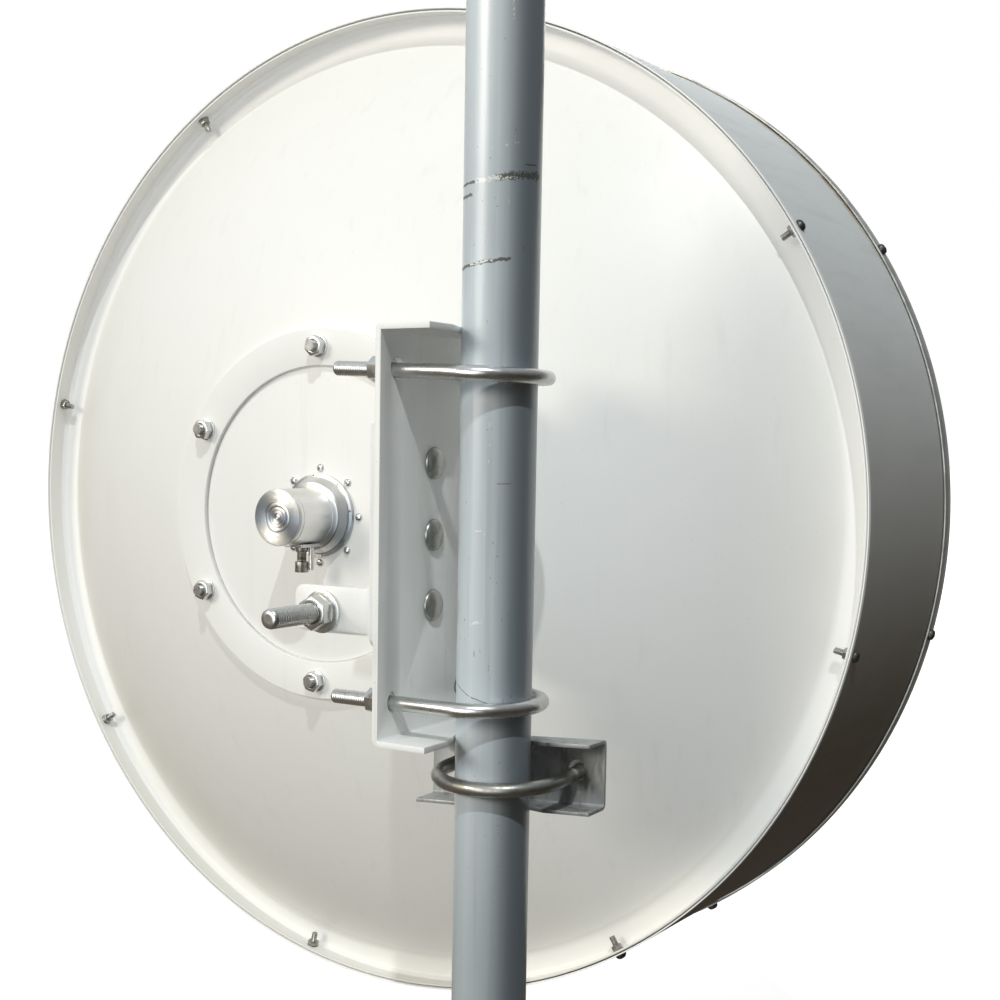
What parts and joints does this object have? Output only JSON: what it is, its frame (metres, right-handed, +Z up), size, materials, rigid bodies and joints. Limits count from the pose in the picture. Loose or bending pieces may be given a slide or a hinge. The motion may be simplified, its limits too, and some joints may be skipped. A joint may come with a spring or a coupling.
{
  "type": "pole-mounted microwave dish antenna",
  "caption": "Shrouded point-to-point microwave dish with a flat radome, seen with its feed and hub at the back, clamped to a steel pole by a notched channel with U-bolts.",
  "frame": {"origin": "centre of the pole's flat foot", "axes": "+Z up along the pole, +Y the way the dish looks, +X to the right for someone who stands behind the dish"},
  "size_m": [0.9972, 0.6216, 1.32],
  "materials": {
    "pole_paint": "glossy blue-grey paint, scratched",
    "white_paint": "smooth warm white paint",
    "mount_paint": "light grey-white paint",
    "shroud_paint": "grey paint, darkened by weather",
    "radome_sheet": "matt grey sheet",
    "band_metal": "dull weathered metal",
    "feed_aluminium": "turned, lightly frosted",
    "zinc": "bright zinc plate",
    "galvanised": "dull galvanised steel",
    "connector_metal": "tarnished metal"
  },
  "bodies": {
    "root": {"pole": "pole_paint", "reflector": "white_paint", "hub_ring": "white_paint", "hub_plate": "white_paint", "hub_bolt_1": "zinc", "hub_bolt_2": "zinc", "hub_bolt_3": "zinc", "hub_bolt_4": "zinc", "hub_bolt_5": "zinc", "hub_bolt_6": "zinc", "shroud": "shroud_paint", "radome": "radome_sheet", "radome_band": "band_metal", "feed_flange": "feed_aluminium", "feed_collar": "feed_aluminium", "feed_housing": "feed_aluminium", "feed_end_cap": "feed_aluminium", "connector_plate": "feed_aluminium", "feed_connector": "connector_metal", "mount_channel": "mount_paint", "dish_bracket": "mount_paint", "carriage_bolt_1": "zinc", "carriage_bolt_2": "zinc", "carriage_bolt_3": "zinc", "upper_u_bolt": "zinc", "lower_u_bolt": "zinc", "upper_near_nut": "zinc", "upper_far_nut": "zinc", "lower_near_nut": "zinc", "lower_far_nut": "zinc", "clamp_channel": "galvanised", "clamp_u_bolt": "zinc", "clamp_left_nut": "zinc", "clamp_right_nut": "zinc", "strut_stud": "zinc", "stud_washer": "zinc", "stud_nut": "zinc", "stud_back_nut": "zinc"}
  },
  "joints": []
}
